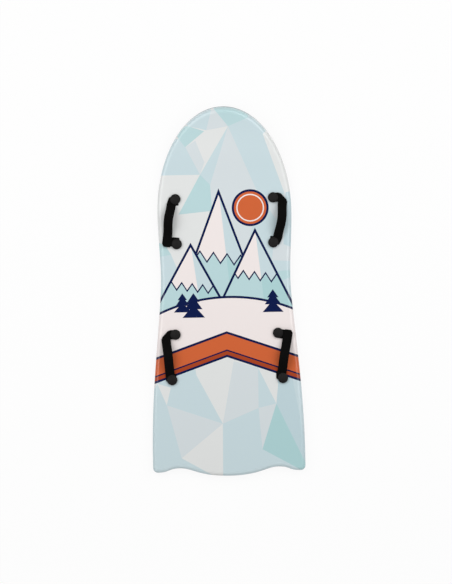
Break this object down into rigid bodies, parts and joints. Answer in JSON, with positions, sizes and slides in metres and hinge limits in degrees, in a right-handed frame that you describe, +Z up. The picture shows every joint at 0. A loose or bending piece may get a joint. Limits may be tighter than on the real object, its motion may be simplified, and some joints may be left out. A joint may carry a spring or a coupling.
{
  "type": "foam slider sled",
  "caption": "Flat snow sled for two riders: foam core, printed deck skin, slick plastic base, turned-up nose, lobed tail and riveted webbing hand loops that swing.",
  "frame": {"origin": "middle of the footprint on the plane that the flat base rests on", "axes": "+X to the rider's right, +Y to the nose, +Z up"},
  "size_m": [0.496, 1.1997, 0.0852],
  "materials": {
    "foam": "fine closed-cell foam",
    "print_film": "printed film with a soft gloss, ice facets in pale blue and teal with a mountain and sun design",
    "slick_plastic": "smooth slick sheet with fine lengthwise scuffs",
    "webbing": "black woven webbing",
    "rivet_plastic": "moulded, satin",
    "nut_plastic": "moulded, satin"
  },
  "bodies": {
    "board": {"foam_core": "foam", "deck_skin": "print_film", "slick_base": "slick_plastic", "front_left_fold_tab": "webbing", "front_left_end_tab": "webbing", "front_left_fold_rivet": "rivet_plastic", "front_left_end_rivet": "rivet_plastic", "front_left_fold_nut": "nut_plastic", "front_left_end_nut": "nut_plastic", "front_right_fold_tab": "webbing", "front_right_end_tab": "webbing", "front_right_fold_rivet": "rivet_plastic", "front_right_end_rivet": "rivet_plastic", "front_right_fold_nut": "nut_plastic", "front_right_end_nut": "nut_plastic", "rear_left_fold_tab": "webbing", "rear_left_end_tab": "webbing", "rear_left_fold_rivet": "rivet_plastic", "rear_left_end_rivet": "rivet_plastic", "rear_left_fold_nut": "nut_plastic", "rear_left_end_nut": "nut_plastic", "rear_right_fold_tab": "webbing", "rear_right_end_tab": "webbing", "rear_right_fold_rivet": "rivet_plastic", "rear_right_end_rivet": "rivet_plastic", "rear_right_fold_nut": "nut_plastic", "rear_right_end_nut": "nut_plastic"},
    "front_left_handle": {"front_left_loop": "webbing"},
    "front_right_handle": {"front_right_loop": "webbing"},
    "rear_left_handle": {"rear_left_loop": "webbing"},
    "rear_right_handle": {"rear_right_loop": "webbing"}
  },
  "joints": [
    {"name": "front_left_swing", "type": "hinge", "parent": "board", "child": "front_left_handle", "pos_m": [-0.1839, 0.19733, 0.0529], "axis": [-0.1356, -0.9908, 0], "range_deg": [-81, 63]},
    {"name": "front_right_swing", "type": "hinge", "parent": "board", "child": "front_right_handle", "pos_m": [0.18703, 0.27484, 0.0529], "axis": [0.1493, 0.9888, 0], "range_deg": [-86, 58]},
    {"name": "rear_left_swing", "type": "hinge", "parent": "board", "child": "rear_left_handle", "pos_m": [-0.19617, -0.16707, 0.0529], "axis": [0.0963, -0.9954, 0], "range_deg": [-69, 75]},
    {"name": "rear_right_swing", "type": "hinge", "parent": "board", "child": "rear_right_handle", "pos_m": [0.19262, -0.17635, 0.0529], "axis": [0.1721, 0.9851, 0], "range_deg": [-68, 76]}
  ]
}
